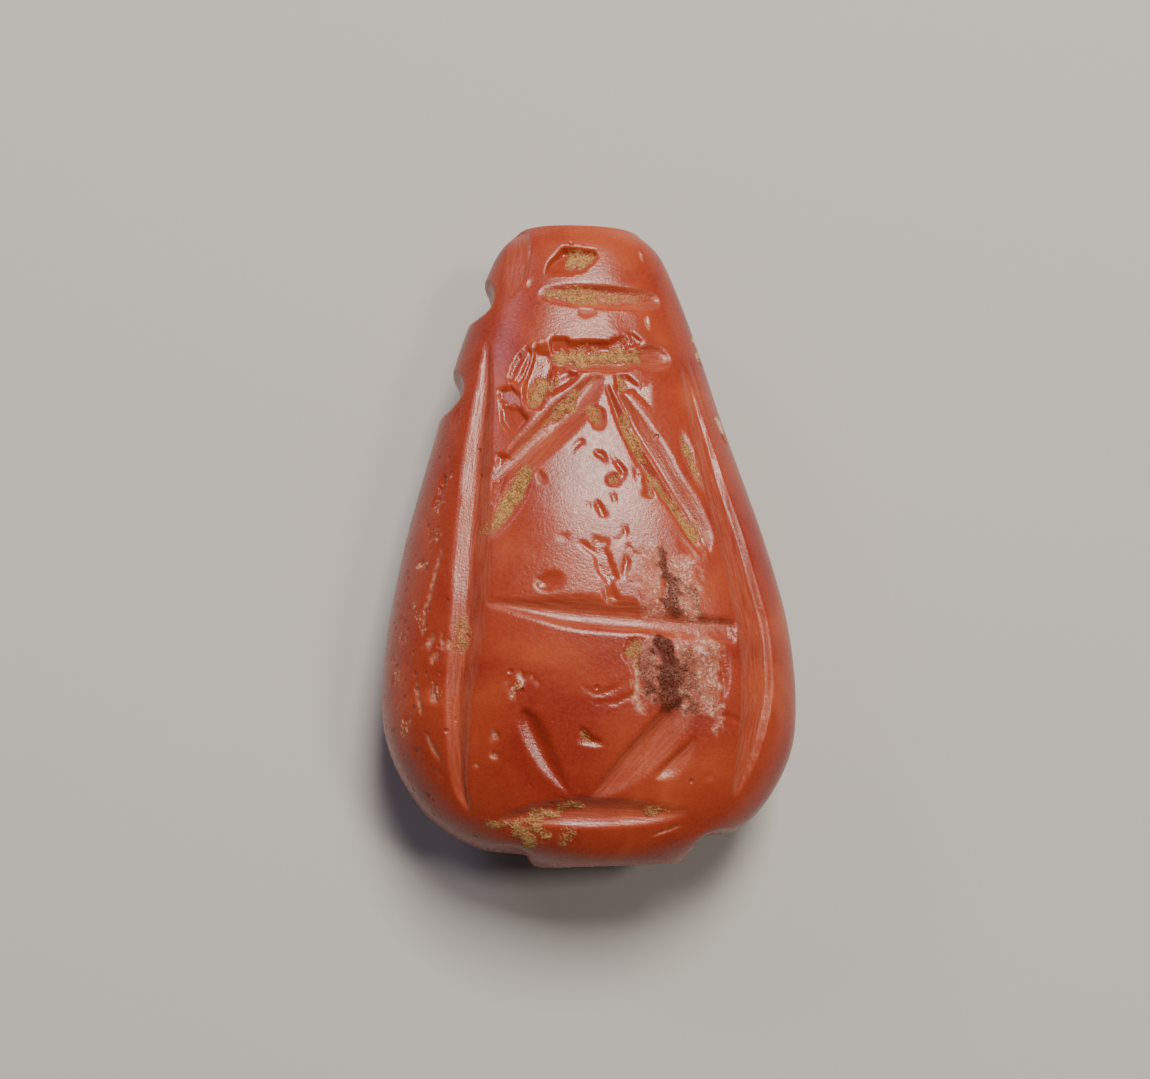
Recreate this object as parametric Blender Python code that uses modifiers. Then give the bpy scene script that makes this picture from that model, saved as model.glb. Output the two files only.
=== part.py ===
"""A carved carnelian bead: one drop shaped stone that lies on its back.

Its long axis is Y with the narrow end at +Y, its carved face looks up, and X runs across it.
The origin is under the middle of the stone, on the surface that it lies on.
"""

import math

import bmesh
import bpy
from mathutils import Vector

MM = 0.001

# Driving dimensions of the stone. The girdle is the level of its widest outline.
LENGTH = 35.0 * MM
WIDTH = 22.4 * MM
FRONT_RISE = 6.6 * MM
BACK_DROP = 6.0 * MM

# The stone would roll on its round back, so a small flat is rubbed on it
RESTING_FLAT_DEPTH = 0.25 * MM

# The string bore was drilled from both ends, so it is narrowest where the two drillings meet
BORE_MOUTH_DIAMETER = 2.4 * MM
BORE_WAIST_DIAMETER = 1.5 * MM

# Widths and depths of the carved lines, at their deepest
LONG_GROOVE_WIDTH = 2.5 * MM
LONG_GROOVE_DEPTH = 0.60 * MM
UPPER_NECK_WIDTH = 1.4 * MM
UPPER_NECK_DEPTH = 0.50 * MM
LOWER_NECK_WIDTH = 1.8 * MM
LOWER_NECK_DEPTH = 0.60 * MM
CHEVRON_WIDTH = 1.8 * MM
CHEVRON_DEPTH = 0.60 * MM
SHOULDER_CUT_WIDTH = 1.2 * MM
SHOULDER_CUT_DEPTH = 0.50 * MM
BELT_WIDTH = 1.7 * MM
BELT_DEPTH = 0.55 * MM
LOWER_ARM_WIDTH = 1.5 * MM
LOWER_ARM_DEPTH = 0.50 * MM
SCRATCH_WIDTH = 0.8 * MM
SCRATCH_DEPTH = 0.25 * MM
FOOT_LINE_WIDTH = 1.5 * MM
FOOT_LINE_DEPTH = 0.50 * MM
BACK_GROOVE_WIDTH = 1.9 * MM
BACK_GROOVE_DEPTH = 0.40 * MM

# Notches cut upright into the edge of the outline
FLANK_NOTCH_WIDTH = 2.6 * MM
FLANK_NOTCH_DEPTH = 0.90 * MM
LEFT_FOOT_NOTCH_WIDTH = 2.0 * MM
LEFT_FOOT_NOTCH_DEPTH = 0.60 * MM
RIGHT_FOOT_NOTCH_WIDTH = 2.7 * MM
RIGHT_FOOT_NOTCH_DEPTH = 0.90 * MM

# Broken hollows on the face, as the width and depth of a round scoop
NECK_FLAKE_WIDTH = 3.4 * MM
NECK_FLAKE_DEPTH = 0.35 * MM
TOP_CHIP_WIDTH = 2.0 * MM
TOP_CHIP_DEPTH = 0.45 * MM

# The outline at places along the stone: share of the length from the wide end, then its left and
# right edges as shares of half the width, and its front and back as shares of the rise and drop
STATIONS = (
    (0.000, -0.240, 0.442, 0.42, 0.40),
    (0.012, -0.345, 0.480, 0.54, 0.52),
    (0.045, -0.660, 0.700, 0.68, 0.66),
    (0.070, -0.755, 0.785, 0.74, 0.72),
    (0.130, -0.890, 0.915, 0.84, 0.83),
    (0.190, -0.973, 0.991, 0.91, 0.91),
    (0.250, -0.998, 1.000, 0.96, 0.96),
    (0.350, -0.975, 0.975, 1.00, 0.99),
    (0.510, -0.884, 0.850, 0.95, 0.98),
    (0.650, -0.765, 0.715, 0.84, 0.90),
    (0.800, -0.637, 0.575, 0.68, 0.74),
    (0.900, -0.531, 0.465, 0.57, 0.62),
    (0.965, -0.452, 0.381, 0.49, 0.52),
    (1.000, -0.345, 0.270, 0.38, 0.40),
)
ALONG, LEFT, RIGHT, FRONT, BACK = range(5)
OUTLINE_SMOOTHING = 0.03

# A section is a rounded oblong: a fullness of 2 would be an ellipse, and more is squarer
FRONT_FULLNESS = 2.4
BACK_FULLNESS = 2.2
CROWN_LEAN = 0.10

# The worn foot is not square to the stone, and its slant fades out over this share of the length
FOOT_SLANT = 0.035
FOOT_SLANT_REACH = 0.12

# Routes on the face, as shares of half the width and of the length from the wide end
LEFT_LONG_ROUTE = ((-0.49, 0.83), (-0.54, 0.69), (-0.59, 0.53), (-0.62, 0.38), (-0.62, 0.24), (-0.55, 0.10))
RIGHT_LONG_ROUTE = ((0.38, 0.83), (0.47, 0.70), (0.58, 0.56), (0.70, 0.42), (0.77, 0.27), (0.72, 0.11))
FRONT_LINES = (
    ("upper_neck_line", ((-0.26, 0.875), (0.35, 0.881)), UPPER_NECK_WIDTH, UPPER_NECK_DEPTH),
    ("lower_neck_line", ((-0.31, 0.771), (0.45, 0.784)), LOWER_NECK_WIDTH, LOWER_NECK_DEPTH),
    ("chevron_left", ((0.06, 0.742), (-0.49, 0.575)), CHEVRON_WIDTH, CHEVRON_DEPTH),
    ("chevron_right", ((0.05, 0.735), (0.52, 0.467)), CHEVRON_WIDTH, CHEVRON_DEPTH),
    ("shoulder_cut", ((-0.27, 0.61), (-0.53, 0.47)), SHOULDER_CUT_WIDTH, SHOULDER_CUT_DEPTH),
    ("belt", ((-0.56, 0.396), (0.70, 0.343)), BELT_WIDTH, BELT_DEPTH),
    ("lower_arm_left", ((-0.37, 0.24), (-0.09, 0.098)), LOWER_ARM_WIDTH, LOWER_ARM_DEPTH),
    ("lower_arm_right", ((0.48, 0.256), (-0.06, 0.098)), LOWER_ARM_WIDTH, LOWER_ARM_DEPTH),
    ("lower_scratch", ((0.50, 0.205), (0.31, 0.135)), SCRATCH_WIDTH, SCRATCH_DEPTH),
    ("foot_line", ((-0.47, 0.067), (0.47, 0.078)), FOOT_LINE_WIDTH, FOOT_LINE_DEPTH),
)
BACK_LONG_ROUTE = ((0.50, 0.70), (0.58, 0.56), (0.65, 0.40), (0.66, 0.24), (0.58, 0.12))
BACK_LINES = (
    ("back_upper_neck_line", ((-0.30, 0.878), (0.30, 0.878)), UPPER_NECK_WIDTH, UPPER_NECK_DEPTH),
    ("back_lower_neck_line", ((-0.38, 0.777), (0.38, 0.777)), LOWER_NECK_WIDTH, LOWER_NECK_DEPTH),
)
EDGE_NOTCHES = (
    ("flank_notch_upper", LEFT, 0.880, FLANK_NOTCH_WIDTH, FLANK_NOTCH_DEPTH),
    ("flank_notch_lower", LEFT, 0.730, FLANK_NOTCH_WIDTH, FLANK_NOTCH_DEPTH),
    ("foot_notch_left", LEFT, 0.013, LEFT_FOOT_NOTCH_WIDTH, LEFT_FOOT_NOTCH_DEPTH),
    ("foot_notch_right", RIGHT, 0.027, RIGHT_FOOT_NOTCH_WIDTH, RIGHT_FOOT_NOTCH_DEPTH),
)
HOLLOWS = (
    ("neck_flake", (-0.32, 0.735), NECK_FLAKE_WIDTH, NECK_FLAKE_DEPTH),
    ("top_chip", (-0.10, 0.935), TOP_CHIP_WIDTH, TOP_CHIP_DEPTH),
)

# Fineness of the faceted solid
SECTION_SIDES = 60
LENGTH_STEPS = 40
LINE_STEPS = 8
LONG_GROOVE_STEPS = 24
BACK_GROOVE_STEPS = 16
TOOL_ROUNDNESS = 3
BORE_SIDES = 24

CARNELIAN_COLOUR = (0.42, 0.075, 0.022, 1.0)
CARNELIAN_ROUGHNESS = 0.28

GIRDLE = BACK_DROP - RESTING_FLAT_DEPTH
HALF_WIDTH = WIDTH / 2


def clear_scene():
    for old in list(bpy.data.objects):
        bpy.data.objects.remove(old, do_unlink=True)


def new_collection(name):
    collection = bpy.data.collections.new(name)
    bpy.context.scene.collection.children.link(collection)
    return collection


def station_slopes(column):
    """Slopes at the stations, for a curve through them that never swings past them."""
    rises = []
    for low, high in zip(STATIONS, STATIONS[1:]):
        rises.append((high[column] - low[column]) / (high[ALONG] - low[ALONG]))
    slopes = [rises[0]]
    for before, after in zip(rises, rises[1:]):
        slopes.append(0.0 if before * after <= 0 else 2 * before * after / (before + after))
    slopes.append(rises[-1])
    return slopes


SLOPES = {column: station_slopes(column) for column in (LEFT, RIGHT, FRONT, BACK)}


def station_curve(along, column):
    """One column of the stations as a curve over the share of the length."""
    i = 0
    while i < len(STATIONS) - 2 and along > STATIONS[i + 1][ALONG]:
        i += 1
    low, high = STATIONS[i], STATIONS[i + 1]
    run = high[ALONG] - low[ALONG]
    t = (along - low[ALONG]) / run
    return (
        low[column] * (1 + 2 * t) * (1 - t) ** 2
        + high[column] * t * t * (3 - 2 * t)
        + SLOPES[column][i] * run * t * (1 - t) ** 2
        - SLOPES[column][i + 1] * run * t * t * (1 - t)
    )


def outline(along, column):
    """The station curve, evened out over a short stretch that shrinks to nothing at the ends."""
    along = min(max(along, 0.0), 1.0)
    reach = min(OUTLINE_SMOOTHING, along / 2, (1 - along) / 2)
    samples = [station_curve(along + reach * k / 3, column) for k in range(-3, 4)]
    return sum(samples) / len(samples)


def section(along):
    """Middle, half width, front rise and back drop of the section at a share of the length."""
    left = outline(along, LEFT) * HALF_WIDTH
    right = outline(along, RIGHT) * HALF_WIDTH
    front = outline(along, FRONT) * FRONT_RISE
    back = outline(along, BACK) * BACK_DROP
    return (left + right) / 2, (right - left) / 2, front, back


def foot_slant(along, x):
    """How far the slanting foot pushes a point towards the narrow end."""
    fade = max(1 - along / FOOT_SLANT_REACH, 0.0) ** 2
    return FOOT_SLANT * (x - STATIONS[0][LEFT] * HALF_WIDTH) * fade


def section_point(along, angle):
    """A point of the uncarved stone, at a share of its length and an angle round its section."""
    middle, half, front, back = section(along)
    across, up = math.cos(angle), math.sin(angle)
    height, fullness = (front, FRONT_FULLNESS) if up >= 0 else (back, BACK_FULLNESS)
    rise = height * math.copysign(abs(up) ** (2 / fullness), up)
    x = middle + half * math.copysign(abs(across) ** (2 / fullness), across)
    x += CROWN_LEAN * max(rise, 0.0)
    y = (along - 0.5) * LENGTH + foot_slant(along, x)
    return Vector((x, y, GIRDLE + rise))


def face_height(x, y, side):
    """Height of the uncarved stone over x, y: its front where side is 1, its back where it is -1."""
    middle, half, front, back = section(y / LENGTH + 0.5)
    height, fullness = (front, FRONT_FULLNESS) if side > 0 else (back, BACK_FULLNESS)
    lean = CROWN_LEAN if side > 0 else 0.0
    rise = 0.0
    for _ in range(12):
        share = min(abs(x - middle - lean * rise) / half, 1.0)
        rise = height * (1 - share**fullness) ** (1 / fullness)
    return GIRDLE + side * rise


def face_point(across, along, side):
    """Point of a face and its outward normal, at shares of half the width and of the length."""
    x, y = across * HALF_WIDTH, (along - 0.5) * LENGTH
    step = 0.05 * MM
    slope_x = (face_height(x + step, y, side) - face_height(x - step, y, side)) / (2 * step)
    slope_y = (face_height(x, y + step, side) - face_height(x, y - step, side)) / (2 * step)
    normal = Vector((-slope_x, -slope_y, 1.0)).normalized() * side
    return Vector((x, y, face_height(x, y, side))), normal


def edge_point(column, along):
    """Point of the outline at the girdle and its outward normal, on the left or the right edge."""
    def place(share):
        return Vector((outline(share, column) * HALF_WIDTH, (share - 0.5) * LENGTH, GIRDLE))

    step = 0.004
    tangent = place(along + step) - place(along - step)
    turn = 1 if column == RIGHT else -1
    return place(along), Vector((tangent.y, -tangent.x, 0.0)).normalized() * turn


def route_point(route, t):
    """Point at t, from 0 to 1, on a smooth curve through the points of a route."""
    spans = len(route) - 1
    i = min(int(t * spans), spans - 1)
    f = t * spans - i
    near = [route[max(i - 1, 0)], route[i], route[i + 1], route[min(i + 2, spans)]]
    point = []
    for a, b, c, d in zip(*near):
        bend = (2 * a - 5 * b + 4 * c - d) * f * f + (3 * b - a - 3 * c + d) * f**3
        point.append(0.5 * (2 * b + (c - a) * f + bend))
    return point


def tool_radius(width, depth):
    """Radius of the round tool that leaves a groove of this width and depth."""
    return (width * width / 4 + depth * depth) / (2 * depth)


def make_cutter(thing, collection):
    collection.objects.link(thing)
    thing.hide_render = True
    thing.display_type = "WIRE"
    return thing


def tube_cutter(name, points, radius, collection):
    """A closed round rod through the points."""
    curve = bpy.data.curves.new(name, "CURVE")
    curve.dimensions = "3D"
    curve.bevel_depth = radius
    curve.bevel_resolution = TOOL_ROUNDNESS
    curve.use_fill_caps = True
    spline = curve.splines.new("POLY")
    spline.points.add(len(points) - 1)
    for target, point in zip(spline.points, points):
        target.co = (*point, 1.0)
    rod = bpy.data.objects.new(name, curve)
    collection.objects.link(rod)
    evaluated = rod.evaluated_get(bpy.context.evaluated_depsgraph_get())
    mesh = bpy.data.meshes.new_from_object(evaluated)
    bm = bmesh.new()
    bm.from_mesh(mesh)
    bmesh.ops.remove_doubles(bm, verts=bm.verts, dist=0.001 * MM)
    bmesh.ops.recalc_face_normals(bm, faces=bm.faces)
    bm.to_mesh(mesh)
    bm.free()
    cutter = make_cutter(bpy.data.objects.new(name, mesh), collection)
    cutter.matrix_world = rod.matrix_world
    bpy.data.objects.remove(rod, do_unlink=True)
    return cutter


def groove_cutter(name, route, width, depth, collection, side=1, steps=LINE_STEPS, run_in=2):
    """A round tool drawn over a face of the stone, that sinks in and comes out at the ends."""
    radius = tool_radius(width, depth)
    points = []
    for i in range(steps + 1):
        t = i / steps
        place, normal = face_point(*route_point(route, t), side)
        sunk = depth * (1 - abs(2 * t - 1) ** run_in)
        points.append(place + normal * (radius - sunk))
    points.insert(0, points[0] + (points[0] - points[1]).normalized() * radius)
    points.append(points[-1] + (points[-1] - points[-2]).normalized() * radius)
    return tube_cutter(name, points, radius, collection)


def notch_cutter(name, column, along, width, depth, collection):
    """A round rod that stands upright and bites into the edge of the outline."""
    radius = tool_radius(width, depth)
    place, outward = edge_point(column, along)
    middle = place + outward * (radius - depth)
    reach = Vector((0.0, 0.0, max(FRONT_RISE, BACK_DROP)))
    return tube_cutter(name, [middle - reach, middle + reach], radius, collection)


def scoop_cutter(name, place, width, depth, collection):
    """A ball that leaves a shallow broken hollow in the front."""
    radius = tool_radius(width, depth)
    point, normal = face_point(*place, 1)
    bm = bmesh.new()
    bmesh.ops.create_uvsphere(bm, u_segments=32, v_segments=24, radius=radius)
    mesh = bpy.data.meshes.new(name)
    bm.to_mesh(mesh)
    bm.free()
    cutter = make_cutter(bpy.data.objects.new(name, mesh), collection)
    cutter.location = point + normal * (radius - depth)
    cutter.rotation_euler = normal.to_track_quat("Z", "Y").to_euler()
    return cutter


def end_middle(along):
    """Middle of the end face at share 0 or 1 of the length."""
    middle, _, front, back = section(along)
    return Vector((middle, (along - 0.5) * LENGTH, GIRDLE + (front - back) / 2))


def bore_cutter(collection):
    """The string bore, turned as a waisted profile about the line between the end faces."""
    wide_end, narrow_end = end_middle(0.0), end_middle(1.0)
    axis = narrow_end - wide_end
    reach = axis.length / 2 + 1.0 * MM
    mouth, waist = BORE_MOUTH_DIAMETER / 2, BORE_WAIST_DIAMETER / 2
    profile = ((0.0, reach), (mouth, reach), (waist, 0.0), (mouth, -reach), (0.0, -reach))
    bm = bmesh.new()
    verts = [bm.verts.new((x, 0.0, z)) for x, z in profile]
    for low, high in zip(verts, verts[1:]):
        bm.edges.new((low, high))
    mesh = bpy.data.meshes.new("string_bore")
    bm.to_mesh(mesh)
    bm.free()
    cutter = make_cutter(bpy.data.objects.new("string_bore", mesh), collection)
    screw = cutter.modifiers.new("turned", "SCREW")
    screw.steps = BORE_SIDES
    screw.render_steps = BORE_SIDES
    screw.use_merge_vertices = True
    screw.merge_threshold = 0.0001 * MM
    cutter.location = (wide_end + narrow_end) / 2
    cutter.rotation_euler = axis.to_track_quat("Z", "Y").to_euler()
    return cutter


def resting_flat_cutter(collection):
    """A block whose top is the plane that the stone lies on."""
    bm = bmesh.new()
    bmesh.ops.create_cube(bm, size=1.0)
    mesh = bpy.data.meshes.new("resting_flat")
    bm.to_mesh(mesh)
    bm.free()
    cutter = make_cutter(bpy.data.objects.new("resting_flat", mesh), collection)
    cutter.scale = (WIDTH, LENGTH, BACK_DROP)
    cutter.location = (0.0, 0.0, -BACK_DROP / 2)
    return cutter


def carnelian():
    material = bpy.data.materials.new("carnelian")
    material.use_nodes = True
    shader = material.node_tree.nodes["Principled BSDF"]
    shader.inputs["Base Color"].default_value = CARNELIAN_COLOUR
    shader.inputs["Roughness"].default_value = CARNELIAN_ROUGHNESS
    shader.inputs["Metallic"].default_value = 0.0
    return material


def stone(collection):
    """The uncarved drop shaped body, lofted through sections that change along its length."""
    bm = bmesh.new()
    rings = []
    for i in range(LENGTH_STEPS + 1):
        along = 0.5 - 0.5 * math.cos(math.pi * i / LENGTH_STEPS)
        angles = [2 * math.pi * k / SECTION_SIDES for k in range(SECTION_SIDES)]
        rings.append([bm.verts.new(section_point(along, angle)) for angle in angles])
    for low, high in zip(rings, rings[1:]):
        for k in range(SECTION_SIDES):
            after = (k + 1) % SECTION_SIDES
            bm.faces.new((low[k], low[after], high[after], high[k]))
    bm.faces.new(rings[0])
    bm.faces.new(rings[-1])
    bmesh.ops.recalc_face_normals(bm, faces=bm.faces)
    mesh = bpy.data.meshes.new("carnelian_bead")
    bm.to_mesh(mesh)
    bm.free()
    mesh.shade_smooth()
    mesh.set_sharp_from_angle(angle=math.radians(35))
    mesh.materials.append(carnelian())
    body = bpy.data.objects.new("carnelian_bead", mesh)
    collection.objects.link(body)
    return body


def carve(body, cutters):
    """Takes everything in the cutters' collection off the body."""
    cut = body.modifiers.new("carving", "BOOLEAN")
    cut.operation = "DIFFERENCE"
    cut.operand_type = "COLLECTION"
    cut.collection = cutters
    cut.solver = "EXACT"


def main():
    clear_scene()
    parts = new_collection("carved_carnelian_bead")
    cutters = new_collection("cutters")
    body = stone(parts)
    for name, route in (("long_groove_left", LEFT_LONG_ROUTE), ("long_groove_right", RIGHT_LONG_ROUTE)):
        long_cut = (LONG_GROOVE_WIDTH, LONG_GROOVE_DEPTH, cutters)
        groove_cutter(name, route, *long_cut, steps=LONG_GROOVE_STEPS, run_in=6)
    for hand, name in ((-1, "back_groove_left"), (1, "back_groove_right")):
        route = [(hand * across, along) for across, along in BACK_LONG_ROUTE]
        back_cut = (BACK_GROOVE_WIDTH, BACK_GROOVE_DEPTH, cutters)
        groove_cutter(name, route, *back_cut, side=-1, steps=BACK_GROOVE_STEPS, run_in=6)
    for name, route, width, depth in FRONT_LINES:
        groove_cutter(name, route, width, depth, cutters)
    for name, route, width, depth in BACK_LINES:
        groove_cutter(name, route, width, depth, cutters, side=-1)
    for name, column, along, width, depth in EDGE_NOTCHES:
        notch_cutter(name, column, along, width, depth, cutters)
    for name, place, width, depth in HOLLOWS:
        scoop_cutter(name, place, width, depth, cutters)
    bore_cutter(cutters)
    resting_flat_cutter(cutters)
    carve(body, cutters)


main()
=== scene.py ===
"""The looks of a carved carnelian bead that lies on its back, in metres.

The fine stone is one closed mesh. It starts from the same uncarved stone as the solid, and every
tool mark, flake and pit is a shape that each point of the surface is pushed inwards out of.

Tables and routes give places on the stone in thousandths: across, of half its width from its middle
line, and along, of its length from the wide end. Their other sizes are in millimetres.
"""

import math

import bpy
import numpy as np
from mathutils import Matrix, Vector, noise


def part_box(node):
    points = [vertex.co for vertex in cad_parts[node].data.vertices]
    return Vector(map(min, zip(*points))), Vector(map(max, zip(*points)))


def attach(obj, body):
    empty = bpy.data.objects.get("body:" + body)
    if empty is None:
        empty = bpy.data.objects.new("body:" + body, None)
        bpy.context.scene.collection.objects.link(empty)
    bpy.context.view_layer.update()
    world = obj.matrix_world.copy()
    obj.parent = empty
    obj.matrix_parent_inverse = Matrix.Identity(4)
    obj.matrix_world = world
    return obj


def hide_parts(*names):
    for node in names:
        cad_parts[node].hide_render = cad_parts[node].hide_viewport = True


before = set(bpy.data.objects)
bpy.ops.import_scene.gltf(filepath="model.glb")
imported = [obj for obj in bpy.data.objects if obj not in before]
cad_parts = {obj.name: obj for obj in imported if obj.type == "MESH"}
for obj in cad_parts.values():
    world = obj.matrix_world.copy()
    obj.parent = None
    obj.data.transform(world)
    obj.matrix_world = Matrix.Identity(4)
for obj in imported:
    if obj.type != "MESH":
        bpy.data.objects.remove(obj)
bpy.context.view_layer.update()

MM = 0.001

# The stone, in millimetres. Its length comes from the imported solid.
BOX_LOW, BOX_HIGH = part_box("carnelian_bead")
LENGTH = (BOX_HIGH[1] - BOX_LOW[1]) / MM
WIDTH = 22.4
FRONT_RISE = 6.6
BACK_DROP = 6.0
RESTING_FLAT_DEPTH = 0.25
GIRDLE = BACK_DROP - RESTING_FLAT_DEPTH
HALF_WIDTH = WIDTH / 2
BORE_MOUTH_DIAMETER = 2.4
BORE_WAIST_DIAMETER = 1.5
BORE_RINGS = 12
END_SHARES = (0.04, 0.10, 0.22, 0.38, 0.54, 0.70, 0.84, 0.94)

# The outline at places along the stone: share of the length from the wide end, then its left and
# right edges as shares of half the width, and its front and back as shares of the rise and drop
STATIONS = np.array((
    (0.000, -0.240, 0.442, 0.42, 0.40),
    (0.012, -0.345, 0.480, 0.54, 0.52),
    (0.045, -0.660, 0.700, 0.68, 0.66),
    (0.070, -0.755, 0.785, 0.74, 0.72),
    (0.130, -0.890, 0.915, 0.84, 0.83),
    (0.190, -0.973, 0.991, 0.91, 0.91),
    (0.250, -0.998, 1.000, 0.96, 0.96),
    (0.350, -0.975, 0.975, 1.00, 0.99),
    (0.510, -0.884, 0.850, 0.95, 0.98),
    (0.650, -0.765, 0.715, 0.84, 0.90),
    (0.800, -0.637, 0.575, 0.68, 0.74),
    (0.900, -0.531, 0.465, 0.57, 0.62),
    (0.965, -0.452, 0.381, 0.49, 0.52),
    (1.000, -0.345, 0.270, 0.38, 0.40),
))
ALONG, LEFT, RIGHT, FRONT, BACK = range(5)
OUTLINE_SMOOTHING = 0.03
FRONT_FULLNESS = 2.4
BACK_FULLNESS = 2.2
CROWN_LEAN = 0.10
NECK_LEAN = -0.10
FOOT_SLANT = 0.035
FOOT_SLANT_REACH = 0.12

# Fineness of the mesh: rings along the stone, which crowd near the foot, and points round each
# ring from one guide line to the next
BODY_RINGS = 300
FOOT_CROWDING = 0.8
CROWDED_SHARE = 0.06
COLUMNS = (52, 112, 58, 78)
GUIDE_REACH = 0.80
GUIDE_SMOOTHING = 41

# Each point's march inwards: how many steps, and how much of the way left each step goes. Then
# how often the walls of the foot notches are evened out
MARCH_STEPS = 60
MARCH_SHARE = 0.9
FOOT_NOTCH_PASSES = 14
BARELY_CUT = 0.01

# Sizes of the unevenness of the stone
WAVES = 3.5
COARSE = 0.9
FINE = 0.35
GRAIN = 0.16
RIPPLE_SPACING = 0.26
RIPPLE_DEPTH = 0.012

# What each point of the mesh tells the material
KINDS = ("ground", "broken", "pit", "bruised")
ATTRIBUTES = KINDS + ("dented", "soil", "frost", "black", "tan", "across", "stroke")


def station_slopes(column):
    """Slopes at the stations, for a curve through them that never swings past them."""
    rises = np.diff(STATIONS[:, column]) / np.diff(STATIONS[:, ALONG])
    slopes = [rises[0]]
    for before, after in zip(rises, rises[1:]):
        slopes.append(0.0 if before * after <= 0 else 2 * before * after / (before + after))
    slopes.append(rises[-1])
    return np.array(slopes)


SLOPES = {column: station_slopes(column) for column in (LEFT, RIGHT, FRONT, BACK)}


def station_curve(along, column):
    """One column of the stations as a curve over the share of the length."""
    at, values = STATIONS[:, ALONG], STATIONS[:, column]
    i = np.clip(np.searchsorted(at, along) - 1, 0, len(at) - 2)
    run = at[i + 1] - at[i]
    t = (along - at[i]) / run
    return (
        values[i] * (1 + 2 * t) * (1 - t) ** 2
        + values[i + 1] * t * t * (3 - 2 * t)
        + SLOPES[column][i] * run * t * (1 - t) ** 2
        - SLOPES[column][i + 1] * run * t * t * (1 - t)
    )


def outline(along, column):
    """The station curve, evened out over a short stretch that shrinks to nothing at the ends."""
    along = np.clip(along, 0.0, 1.0)
    reach = np.minimum(OUTLINE_SMOOTHING, np.minimum(along, 1 - along) / 2)
    return sum(station_curve(along + reach * k / 3, column) for k in range(-3, 4)) / 7


def section(along):
    """Middle, half width, front rise and back drop of the section at a share of the length."""
    left = outline(along, LEFT) * HALF_WIDTH
    right = outline(along, RIGHT) * HALF_WIDTH
    front = outline(along, FRONT) * FRONT_RISE
    back = outline(along, BACK) * BACK_DROP
    return (left + right) / 2, (right - left) / 2, front, back


def crown_lean(along):
    """How far the crown leans to the right over its rise: less towards the narrow end."""
    return CROWN_LEAN + (NECK_LEAN - CROWN_LEAN) * smooth_step((along - 0.45) / 0.35)


def stone_points(along, angle):
    """Points of the uncarved stone, at shares of its length and angles round its section."""
    middle, half, front, back = section(along)
    across, up = np.cos(angle), np.sin(angle)
    facing = up >= 0
    fullness = np.where(facing, FRONT_FULLNESS, BACK_FULLNESS)
    rise = np.where(facing, front, back) * np.sign(up) * np.abs(up) ** (2 / fullness)
    x = middle + half * np.sign(across) * np.abs(across) ** (2 / fullness)
    x = x + crown_lean(along) * np.maximum(rise, 0.0)
    fade = np.maximum(1 - along / FOOT_SLANT_REACH, 0.0) ** 2
    slant = FOOT_SLANT * (x - STATIONS[0, LEFT] * HALF_WIDTH) * fade
    return np.stack([x, (along - 0.5) * LENGTH + slant, GIRDLE + rise], -1)


def face_height(x, y, side):
    """Height of the uncarved stone over x, y: its front where side is 1, its back where -1."""
    middle, half, front, back = section(y / LENGTH + 0.5)
    height, fullness = (front, FRONT_FULLNESS) if side > 0 else (back, BACK_FULLNESS)
    lean = crown_lean(y / LENGTH + 0.5) if side > 0 else 0.0
    rise = np.zeros_like(x)
    for _ in range(12):
        share = np.minimum(np.abs(x - middle - lean * rise) / half, 1.0)
        rise = height * (1 - share**fullness) ** (1 / fullness)
    return GIRDLE + side * rise


def unit(vectors):
    return vectors / np.maximum(np.linalg.norm(vectors, axis=-1, keepdims=True), 1e-12)


def dot(a, b):
    return np.sum(a * b, axis=-1)


def face_points(places, side=1):
    """Points of a face and their outward normals, at shares of half the width and the length."""
    places = np.atleast_2d(np.asarray(places, float))
    x, y = places[:, 0] * HALF_WIDTH, (places[:, 1] - 0.5) * LENGTH
    step = 0.05
    slope_x = (face_height(x + step, y, side) - face_height(x - step, y, side)) / (2 * step)
    slope_y = (face_height(x, y + step, side) - face_height(x, y - step, side)) / (2 * step)
    normals = unit(np.stack([-slope_x, -slope_y, np.ones_like(x)], -1)) * side
    return np.stack([x, y, face_height(x, y, side)], -1), normals


def edge_point(column, along):
    """Point of the outline at the girdle and its outward normal, on the left or the right edge."""
    step = 0.004
    at = np.array([along - step, along, along + step])
    x, y = outline(at, column) * HALF_WIDTH, (at - 0.5) * LENGTH
    points = np.stack([x, y, np.full(3, GIRDLE)], -1)
    tangent = points[2] - points[0]
    turn = 1 if column == RIGHT else -1
    return points[1], unit(np.array([tangent[1], -tangent[0], 0.0])) * turn


def route_points(route, t):
    """Points at t, from 0 to 1, on a smooth curve through the points of a route."""
    route = np.asarray(route, float)
    spans = len(route) - 1
    i = np.minimum((t * spans).astype(int), spans - 1)
    f = (t * spans - i)[:, None]
    a, b = route[np.maximum(i - 1, 0)], route[i]
    c, d = route[i + 1], route[np.minimum(i + 2, spans)]
    bend = (2 * a - 5 * b + 4 * c - d) * f * f + (3 * b - a - 3 * c + d) * f**3
    return 0.5 * (2 * b + (c - a) * f + bend)


def wander(points, scale, seed=0.0):
    """Smooth noise from about -1 to 1 at the points, with features of about scale millimetres."""
    offset = Vector((seed * 7.31, seed * 3.17, seed * 11.9))
    return np.array([noise.noise(Vector(p) / scale + offset) for p in points])


def smooth_step(t):
    t = np.clip(t, 0.0, 1.0)
    return t * t * (3 - 2 * t)


def smooth_max(a, b, blend):
    """The larger of two, with the corner between them rounded over the blend."""
    near = np.maximum(blend - np.abs(a - b), 0.0) / blend
    return np.maximum(a, b) + near * near * blend * 0.25


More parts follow.
